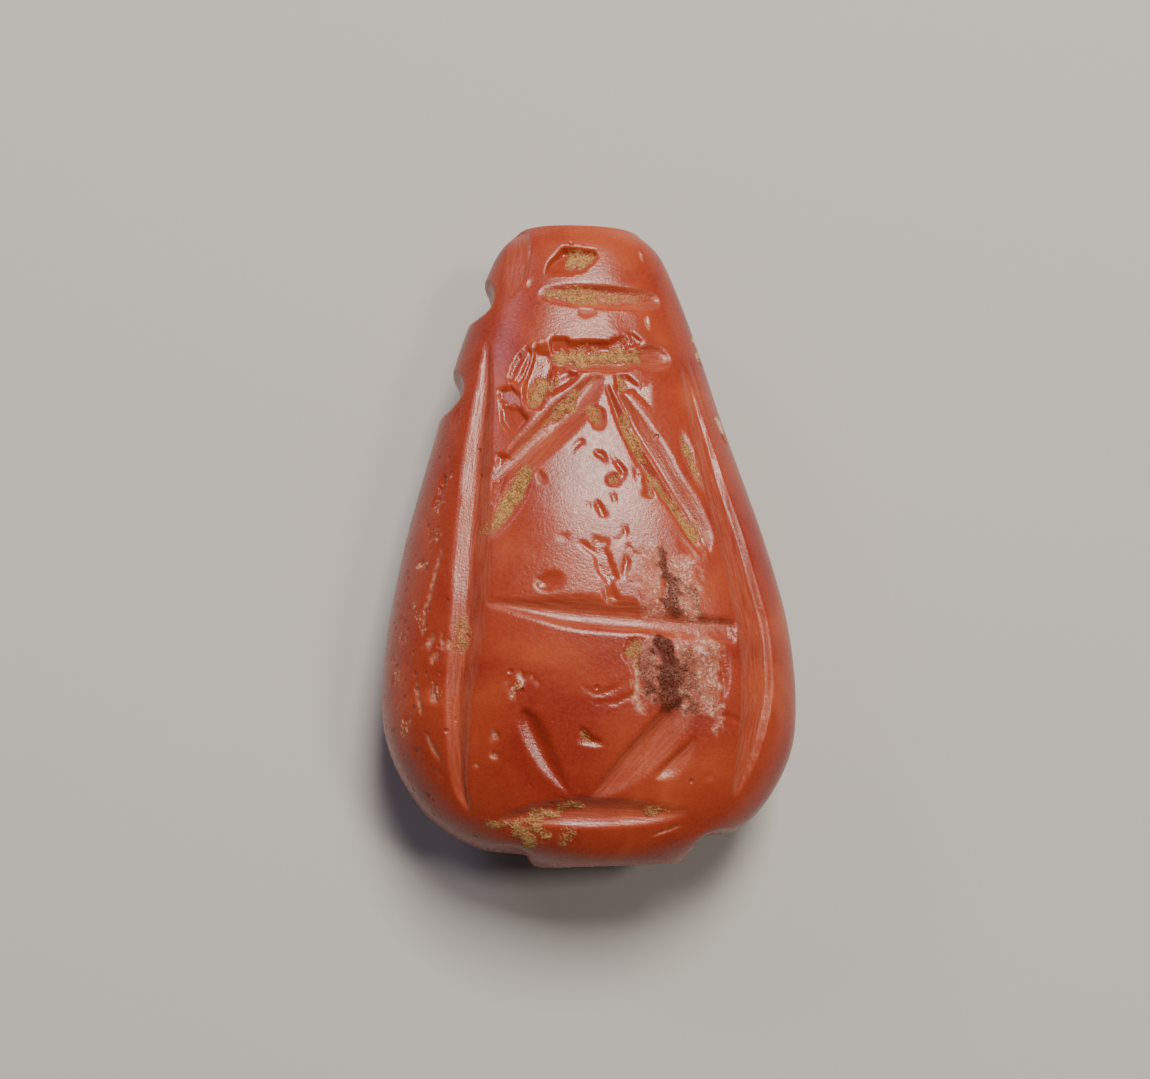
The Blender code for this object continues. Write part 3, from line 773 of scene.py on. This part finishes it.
# Thin cracks: across and along of each point
CRACKS = (
    (560, 234, 623, 220, 693, 207, 717, 159), (-90, 271, -9, 254, 98, 263, 178, 297),
    (584, 325, 588, 275, 589, 238), (604, 319, 608, 275, 603, 246), (569, 319, 579, 287, 579, 260),
    (200, 446, 240, 430, 262, 412), (-31, 243, 70, 239, 161, 251, 244, 258),
)

# Whitened scratches at the foot, at the narrow end and down the left flank, in the same way.
# Their whitening is partly worn stone and partly a painted highlight for the glint of their edges
SCRATCHES = (
    (250, 43, 329, 53, 432, 64), (-705, 490, -725, 458, -765, 410, -796, 369, -799, 310),
    (-298, 969, -314, 943, -324, 918), (-291, 903, -311, 885), (241, 961, 253, 940),
    (258, 848, 275, 820), (-826, 281, -815, 250, -800, 223), (-782, 200, -745, 174, -700, 153),
    (-668, 288, -672, 250, -671, 222, -664, 190, -659, 161),
)


def carving(stone):
    """Every mark on the stone."""
    cuts = [
        RestingFlat(stone),
        # The two long grooves, and the bevel outside the right one
        Groove(stone, LEFT_LONG, 0.08, 0.27, 0.28, floor=0.47, tilt=28, run_in=6, run_out=9,
            round_off=0.1, edge=0.07),
        Groove(stone, RIGHT_LONG, 0.5, 0.16, 0.36, floor=0.66, run_in=6, run_out=8, round_off=0.15,
            edge=0.06),
        Groove(stone, ((824, 225, 0.5), (820, 285), (800, 340), (775, 395, 0.8), (748, 440, 0.5)),
            0.05, 0.1, 0.16, floor=0.16, tilt=-23, run_in=3, run_out=3, round_off=0.04, edge=0.05),
        # The neck grooves, the second of which ends in a hollow
        Groove(stone, ((-262, 876), (-60, 875), (135, 874, 1.0, 0.9), (345, 876, 0.9, 0.6)), 0.2,
            0.34, 0.42, floor=0.42, run_in=2.5, run_out=10),
        Groove(stone, ((-292, 768), (-113, 769), (79, 769), (240, 773)), 0.3, 0.42, 0.52,
            floor=0.34, run_in=2.5, run_out=4),
        Hollow(stone, (285, 775), 2.7, 1.6, 0.34, 6, rough=0.04, edge=0.06, kind="ground"),
        # The chevron's left arm and the cut beside it, then its right arm, in two strokes
        Groove(stone, ((40, 745), (-92, 694), (-219, 651), (-356, 609), (-500, 565)), 0.72, 0.52,
            0.52, floor=0.34, run_in=3.5, run_out=3),
        Groove(stone, ((-290, 602), (-356, 561), (-427, 524), (-507, 480)), 0.4, 0.4, 0.48,
            floor=0.22),
        Groove(stone, ((50, 732, 0.6), (115, 680, 0.8), (179, 636), (242, 596), (320, 560),
            (391, 528), (456, 490), (505, 460)), 0.5, 0.36, 0.62, floor=0.06, run_in=5, run_out=5,
            round_off=0.08, edge=0.05),
        Groove(stone, ((86, 726, 0.6), (155, 683, 0.8), (215, 645), (280, 612), (360, 566),
            (430, 530), (485, 495), (524, 466)), 0.92, 0.22, 0.4, floor=0.04, run_in=5, run_out=8,
            round_off=0.06, edge=0.04),
        # Short cuts beside the right arm
        Groove(stone, ((375, 489), (440, 468), (510, 444)), 0.22, 0.22, 0.16),
        Groove(stone, ((410, 668), (456, 614), (524, 552)), 0.3, 0.3, 0.3),
        # The belt
        Groove(stone, BELT, 0.6, 0.6, 0.42, floor=0.28, tilt=-7, run_in=3, run_out=4, round_off=0.1,
            edge=0.06),
        Groove(stone, BELT_END, 0.14, 0.5, 0.42, floor=0.36, tilt=-5, run_in=2.5, run_out=60,
            round_off=0.08, edge=0.05),
        # The slanting lines below the belt, and the line along the foot
        Groove(stone, ((-338, 232, 0.8, 1.5), (-282, 193, 1.0, 1.4), (-217, 154, 1.0, 1.1),
            (-165, 129, 1.0, 0.8), (-105, 104, 0.8, 0.5)), 0.53, 0.52, 0.22, floor=0.02, run_in=8,
            run_out=4, round_off=0.06, edge=0.04, kind="broken"),
        Groove(stone, ((-30, 95), (133, 150), (269, 196), (450, 256)), 0.34, 1.2, 0.38, floor=0.24,
            run_out=4, round_off=0.14, edge=0.06),
        Groove(stone, ((273, 131), (351, 155), (480, 193)), 0.14, 0.72, 0.28, floor=0.05,
            round_off=0.05, edge=0.04),
        Groove(stone, ((-476, 67), (-250, 78), (24, 80), (255, 79), (455, 83)), 0.7, 0.58, 0.42,
            floor=0.26, round_off=0.3),
        # A faint stroke, the broken place over the belt, and a bevel at the narrow end
        Groove(stone, ((470, 800), (510, 752), (545, 706), (568, 676)), 0.1, 0.16, 0.05, floor=0.02,
            run_in=3, run_out=3, round_off=0.03, edge=0.03),
        Groove(stone, ((328, 460), (326, 421), (318, 373)), 0.3, 0.22, 0.2, floor=0.06, run_in=2,
            run_out=9, kind="broken"),
        Groove(stone, ((-372, 990), (-380, 958), (-388, 925, 0.9), (-392, 895, 0.6),
            (-400, 872, 0.2)), 0.4, 0.1, 0.12, floor=0.75, tilt=-9, run_in=6, run_out=2,
            round_off=0.05, edge=0.04),
        # The notches in the left edge, and on both sides of the foot
        Notch(stone, LEFT, 0.88, 2.6, 0.9),
        Notch(stone, LEFT, 0.73, 2.6, 0.9),
        Notch(stone, LEFT, 0.013, 2.0, 0.6, edge=0.3),
        Notch(stone, RIGHT, 0.027, 2.7, 0.9, edge=0.3),
    ]
    for across, along, length, width, depth, turn, lean in FLAKES:
        cuts.append(Hollow(stone, (across, along), length, width, depth, turn, lean,
                           ripple=RIPPLE_DEPTH * abs(lean)))
    for kind, chips in (("broken", CHIPS), ("bruised", PALE_CHIPS)):
        for *sizes, corners in chips:
            cuts.append(Facet(stone, corners, *sizes, kind))
    for across, along, *sizes in PITS:
        cuts.append(Hollow(stone, (across, along), *sizes, rough=0.32, kind="pit"))
    for kind, routes in (("broken", CRACKS), ("bruised", SCRATCHES)):
        for route in routes:
            cuts.append(Groove(stone, np.reshape(route, (-1, 2)), 0.12, 0.09, 0.12, floor=0.02,
                               round_off=0.02, edge=0.03, kind=kind, lines=0.0, wobble=0.10))
    for hand in (-1, 1):
        long_back = [(hand * across, along) for across, along in BACK_LONG]
        cuts.append(Groove(stone, long_back, 0.5, 0.5, 0.4, floor=0.3, run_in=5, run_out=5,
                           side=-1))
        for along, reach in BACK_NECK:
            line = ((0, along), (hand * reach, along))
            cuts.append(Groove(stone, line, 0.35, 0.35, 0.4, floor=0.3, run_in=60, side=-1))
    return cuts


def end_rings(rim, mouth, outward):
    """Rings across an end face, from its rim to the bore's mouth, with both edges worn round."""
    lifts = [0.02] + [0.03] * (len(END_SHARES) - 1)
    return [rim + (mouth - rim) * share + outward * lift for share, lift in zip(END_SHARES, lifts)]


def bore_rings(low, high):
    """Rings of both end faces and of the string bore, from the narrow end back to the wide end."""
    middle, _, front, back = section(np.array([0.0, 1.0]))
    wide, narrow = np.stack([middle, [-LENGTH / 2, LENGTH / 2], GIRDLE + (front - back) / 2], -1)
    axis = unit(narrow - wide)
    side = unit(np.cross(axis, np.array([0.0, 0.0, 1.0])))
    up = np.cross(side, axis)

    def circle(rim, centre, radius):
        gap = rim - centre
        turn = np.arctan2(dot(gap, up), dot(gap, side))
        return centre + radius * (np.cos(turn)[:, None] * side + np.sin(turn)[:, None] * up)

    def mouth_ring(rim, centre, normal):
        ring = circle(rim, centre, BORE_MOUTH_DIAMETER / 2)
        return ring + axis * (dot(rim[0] - ring, normal) / dot(axis, normal))[:, None]

    wide_normal, narrow_normal = unit(np.array([FOOT_SLANT, -1.0, 0.0])), np.array([0.0, 1.0, 0.0])
    mouth, waist = BORE_MOUTH_DIAMETER / 2, BORE_WAIST_DIAMETER / 2
    rings = end_rings(high, mouth_ring(high, narrow, narrow_normal), narrow_normal)
    for share in np.linspace(0.008, 0.992, BORE_RINGS):
        centre = narrow + (wide - narrow) * share
        radius = waist + (mouth - waist) * abs(2 * share - 1)
        rings.append(circle(high if share < 0.5 else low, centre, radius))
    return rings + end_rings(low, mouth_ring(low, wide, wide_normal), wide_normal)[::-1]


def build_bead():
    """The whole stone as one closed mesh, with what the material needs at each of its points."""
    stone = Stone()
    stone.carve()
    stone.ease_foot_notches()
    stone.mark_kinds()
    stone.weather()
    points = stone.points + stone.inward * stone.depth[:, None]
    grid = points.reshape(stone.rings, stone.around, 3)
    rings = np.concatenate([grid, np.stack(bore_rings(grid[0], grid[-1]))])
    count, around = rings.shape[:2]
    verts = rings.reshape(-1, 3) * MM
    ring, step = np.arange(count)[:, None] * around, np.arange(around)[None, :]
    next_ring, next_step = (ring + around) % (count * around), (step + 1) % around
    faces = np.stack([ring + step, next_ring + step, next_ring + next_step, ring + next_step], -1)
    faces = faces.reshape(-1, 4)
    mesh = bpy.data.meshes.new("carved_bead")
    mesh.from_pydata(verts, [], faces)
    mesh.validate()
    mesh.shade_smooth()
    pad = len(verts) - len(stone.points)
    for name in ATTRIBUTES:
        values = getattr(stone, name)
        full = np.concatenate([values, np.zeros(pad)]).astype(np.float32)
        mesh.attributes.new(name, "FLOAT", "POINT").data.foreach_set("value", full)
    bead = bpy.data.objects.new("carved_bead", mesh)
    bpy.context.scene.collection.objects.link(bead)
    return bead


class Value:
    """A number that a shader node gives. Sums and products of it are nodes too."""

    def __init__(self, shader, socket):
        self.shader, self.socket = shader, socket

    def __add__(self, other):
        return self.shader.math("ADD", self, other)

    def __sub__(self, other):
        return self.shader.math("SUBTRACT", self, other)

    def __mul__(self, other):
        return self.shader.math("MULTIPLY", self, other)


class Shader:
    """A material's shader nodes, put in one call at a time."""

    def __init__(self, name):
        self.material = bpy.data.materials.new(name)
        self.material.use_nodes = True
        self.tree = self.material.node_tree
        self.surface = self.tree.nodes["Principled BSDF"]

    def add(self, kind, *inputs, **settings):
        """A new node, with its inputs in order: each a number, a colour or a node's output."""
        node = self.tree.nodes.new(kind)
        for name, value in settings.items():
            setattr(node, name, value)
        self.fill(node, inputs)
        return node

    def fill(self, node, values):
        for socket, value in zip([i for i in node.inputs if i.enabled], values):
            self.set(socket, value)

    def set(self, socket, value):
        value = value.socket if isinstance(value, Value) else value
        if isinstance(value, bpy.types.NodeSocket):
            self.tree.links.new(value, socket)
        else:
            socket.default_value = value

    def math(self, operation, *inputs, clamp=False):
        node = self.add("ShaderNodeMath", *inputs, operation=operation, use_clamp=clamp)
        return Value(self, node.outputs[0])

    def scale(self, value, low, high, to_low=0.0, to_high=1.0):
        """The value's range from low to high, brought to the range from to_low to to_high."""
        node = self.add("ShaderNodeMapRange", value, low, high, to_low, to_high,
                        interpolation_type="SMOOTHSTEP")
        return Value(self, node.outputs[0])

    def mix(self, share, first, second):
        """The first colour, with a share of the second in it."""
        node = self.add("ShaderNodeMix", data_type="RGBA", clamp_factor=True)
        self.fill(node, (share, first, second))
        return next(o for o in node.outputs if o.enabled)

    def noise(self, size, detail=2.0, roughness=0.5, at=None, distortion=0.0):
        """Noise with features of about size, in millimetres unless at is given, round 0.5."""
        node = self.add("ShaderNodeTexNoise")
        self.set(node.inputs["Vector"], at or self.place)
        self.set(node.inputs["Scale"], 1 / (size * MM) if at is None else 1 / size)
        self.set(node.inputs["Detail"], detail)
        self.set(node.inputs["Roughness"], roughness)
        self.set(node.inputs["Distortion"], distortion)
        return Value(self, node.outputs[0])

    def attribute(self, name):
        return Value(self, self.add("ShaderNodeAttribute", attribute_name=name).outputs["Fac"])


# Sizes in the material, and its colours
DENT_SPACING = 0.55
BUMP_DEPTH = 0.012
DEEP_RED = (0.230, 0.021, 0.011, 1.0)
RED_ORANGE = (0.300, 0.040, 0.016, 1.0)
CLEAR_ORANGE = (0.385, 0.070, 0.025, 1.0)
FROSTED = (0.540, 0.200, 0.120, 1.0)
# Painted glint: pale specks that stand in for the glitter of the frosted surface
PAINTED_GLINT = (0.720, 0.500, 0.420, 1.0)
SOIL_PALE = (0.560, 0.315, 0.095, 1.0)
SOIL_DARK = (0.190, 0.095, 0.028, 1.0)
SPECK = (0.050, 0.010, 0.004, 1.0)
SMOKED = (0.100, 0.020, 0.009, 1.0)
WORN_TAN = (0.600, 0.400, 0.240, 1.0)
# Pale colour of broken stone, lightened further as a painted highlight for its glints
BRUISED_AND_GLINT = (0.560, 0.290, 0.190, 1.0)


def carnelian():
    """Waxy orange-red stone with cloudy colour, fine scratches, dents, soil and black specks."""
    stone = Shader("carnelian_stone")
    surface, mix, scale = stone.surface.inputs, stone.mix, stone.scale
    stone.place = stone.add("ShaderNodeTexCoord").outputs["Object"]
    ground, broken, pit, bruised, dented, soil, frost, black, tan, across, stroke = (
        stone.attribute(name) for name in ATTRIBUTES
    )
    grain = stone.noise(0.12)
    fleck = stone.noise(0.24, 3.0, 0.65)
    cloud = stone.noise(5.5, 3.0, 0.55, distortion=0.6)
    strokes = stone.add("ShaderNodeCombineXYZ", across, stroke * 0.09).outputs[0]
    furrow = stone.noise(0.13, 2.0, 0.6, at=strokes)

    # The stone's own cloudy colour, paler along the ground lines: partly scuffing and partly a
    # painted highlight for the glow of the groove walls
    colour = mix(scale(cloud, 0.30, 0.55), DEEP_RED, RED_ORANGE)
    colour = mix(scale(cloud, 0.52, 0.75), colour, CLEAR_ORANGE)
    colour = mix(scale(fleck, 0.35, 0.75, 0.0, 0.14), colour, CLEAR_ORANGE)
    scuff_and_sheen = ground * scale(furrow, 0.35, 0.75, 0.04, 0.30)
    colour = mix(scuff_and_sheen, colour, FROSTED)

    # The rough place: frosted, then pale painted glints, then smoked, then specked with black
    glint = stone.noise(0.15, 3.0, 0.6, distortion=1.0) + (stone.noise(0.6) - 0.5) * 0.5
    frosted = stone.math("MULTIPLY", frost, scale(glint, 0.36, 0.66, 0.45, 0.90), clamp=True)
    colour = mix(frosted, colour, FROSTED)
    painted_glints = stone.math("MULTIPLY", frost, scale(glint, 0.50, 0.70, 0.0, 0.85), clamp=True)
    colour = mix(painted_glints, colour, PAINTED_GLINT)
    colour = mix(scale(black, 0.05, 0.80, 0.0, 0.88), colour, SMOKED)
    specks = black * 0.45 + (stone.noise(0.10, 1.0, 0.5) - 0.5) * 2.6
    specks = scale(specks, 0.20, 0.72) * scale(black, 0.02, 0.70)
    colour = mix(specks * 0.92, colour, SPECK)

    # Worn crumbs, bruised floors paled partly by a painted highlight, and the small dents of the
    # flanks and the back, darkened by painted shade
    crumbs = (fleck - 0.5) + (grain - 0.5)
    pale = scale(tan + crumbs * 1.6, 0.45, 0.80, 0.0, 0.85) * scale(tan, 0.02, 0.20)
    colour = mix(pale, colour, WORN_TAN)
    # Painted highlight: the bruised floors are paled as well as whitened
    colour = mix(bruised * scale(fleck, 0.38, 0.62, 0.15, 0.80), colour, BRUISED_AND_GLINT)
    dent = stone.add("ShaderNodeTexVoronoi", feature="F1", distance="EUCLIDEAN")
    stone.set(dent.inputs["Vector"], stone.place)
    stone.set(dent.inputs["Scale"], 1 / (DENT_SPACING * MM))
    stone.set(dent.inputs["Randomness"], 1.0)
    chosen = stone.add("ShaderNodeSeparateColor", dent.outputs["Color"]).outputs[0]
    holes = scale(dent.outputs["Distance"], 0.12, 0.34, 1.0, 0.0)
    holes = holes * stone.math("LESS_THAN", chosen, dented * 0.45)
    # Painted shade: the small dents are darkened towards deep red
    colour = mix(holes * 0.45, colour, DEEP_RED)

    # Soil over all of it
    uneven = crumbs * 1.7 + (furrow - 0.5) * 0.9
    packed = scale(soil + uneven, -0.05, 1.05, 0.0, 0.96) * scale(soil, 0.02, 0.30)
    earth = mix(scale(stone.noise(0.09, 3.0, 0.7), 0.40, 0.60), SOIL_DARK, SOIL_PALE)
    clods = scale(stone.noise(0.9, 3.0, 0.6), 0.46, 0.70, 0.0, 0.55)
    colour = mix(packed, colour, mix(clods, earth, SOIL_DARK))
    stone.set(surface["Base Color"], colour)

    rough = scale(fleck, 0.30, 0.70, 0.24, 0.33) + ground * 0.02 + frosted * 0.16
    rough = rough - (broken + bruised) * 0.06 + pit * 0.25
    stone.set(surface["Roughness"], stone.math("ADD", rough, packed * 0.55, clamp=True))

    stretched = stone.add("ShaderNodeVectorMath", stone.place, (0.4, 1.0, 1.0),
                          operation="MULTIPLY").outputs[0]
    ripple = stone.noise(0.16 * MM, 2.0, 0.5, at=stretched)
    height = grain * 0.8 + ripple * 0.6 + fleck * 0.50 + ground * furrow * 1.5
    height = height + frost * glint * 9.0 + packed * grain * 5.0 - holes * 4.0
    bump = stone.add("ShaderNodeBump")
    stone.set(bump.inputs["Height"], height)
    stone.set(bump.inputs["Distance"], BUMP_DEPTH * MM)
    stone.set(surface["Normal"], bump.outputs[0])

    stone.set(surface["Specular IOR Level"], scale(black, 0.0, 1.0, 0.40, 0.12))
    surface["Subsurface Weight"].default_value = 0.30
    surface["Subsurface Radius"].default_value = (1.0, 0.30, 0.12)
    surface["Subsurface Scale"].default_value = 1.2 * MM
    return stone.material


# Camera, where the photograph's was: nearly overhead, a little towards the wide end and the left
CAMERA_DISTANCE = 101.0 * MM
CAMERA_TILT = math.radians(9.0)
CAMERA_LEAN = math.radians(4.0)
CAMERA_TARGET = Vector((-0.67, 0.30, 5.75)) * MM
SENSOR_WIDTH = 36.0
FOCAL_PIXELS = 1830.0
IMAGE_WIDTH = 1150.0

# Floor, sky and lights: the name of each light, its place, size, power and colour
FLOOR_SIZE = 1.2
FLOOR_GAP = 0.02 * MM
FLOOR_COLOUR = (0.46, 0.455, 0.445, 1.0)
SKY_COLOUR = (0.85, 0.88, 0.92, 1.0)
SKY_STRENGTH = 0.07
LIGHT_TARGET = Vector((0, 0, 0.006))
LIGHTS = (
    ("overhead", (0.05, 0.20, 0.36), (0.12, 0.17), 2.45, (1.0, 0.91, 0.81)),
    ("gleam", (0.17, 0.02, 0.36), (0.06, 0.06), 0.42, (1.0, 0.90, 0.78)),
    ("cool_side", (-0.26, 0.25, 0.24), (0.12, 0.12), 0.32, (0.84, 0.74, 1.0)),
)


def make_camera():
    data = bpy.data.cameras.new("camera")
    data.sensor_width = SENSOR_WIDTH
    data.sensor_fit = "HORIZONTAL"
    data.lens = FOCAL_PIXELS * SENSOR_WIDTH / IMAGE_WIDTH
    data.clip_start, data.clip_end = 0.005, 10.0
    way = Vector((math.tan(CAMERA_LEAN), math.tan(CAMERA_TILT), -1.0)).normalized()
    right = way.cross(Vector((0.0, 1.0, 0.0))).normalized()
    up = right.cross(way)
    camera = bpy.data.objects.new("camera", data)
    turn = Matrix((right, up, -way)).transposed().to_4x4()
    camera.matrix_world = Matrix.Translation(CAMERA_TARGET - way * CAMERA_DISTANCE) @ turn
    bpy.context.scene.collection.objects.link(camera)
    bpy.context.scene.camera = camera


def area_light(name, place, size, power, colour):
    data = bpy.data.lights.new(name, "AREA")
    data.shape = "RECTANGLE"
    data.size, data.size_y = size
    data.energy = power
    data.color = colour
    light = bpy.data.objects.new(name, data)
    light.location = place
    light.rotation_euler = (LIGHT_TARGET - Vector(place)).to_track_quat("-Z", "Y").to_euler()
    bpy.context.scene.collection.objects.link(light)


def make_studio():
    bpy.ops.mesh.primitive_plane_add(size=FLOOR_SIZE, location=(0, 0, -FLOOR_GAP))
    floor = bpy.context.object
    floor.name = "floor"
    paper = bpy.data.materials.new("pale_floor")
    paper.use_nodes = True
    shader = paper.node_tree.nodes["Principled BSDF"]
    shader.inputs["Base Color"].default_value = FLOOR_COLOUR
    shader.inputs["Roughness"].default_value = 0.9
    floor.data.materials.append(paper)
    for light in LIGHTS:
        area_light(*light)
    world = bpy.data.worlds.new("studio")
    world.use_nodes = True
    sky = world.node_tree.nodes["Background"].inputs
    sky["Color"].default_value, sky["Strength"].default_value = SKY_COLOUR, SKY_STRENGTH
    bpy.context.scene.world = world


make_camera()
make_studio()
bead = build_bead()
bead.data.materials.append(carnelian())
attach(bead, "root")
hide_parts("carnelian_bead")
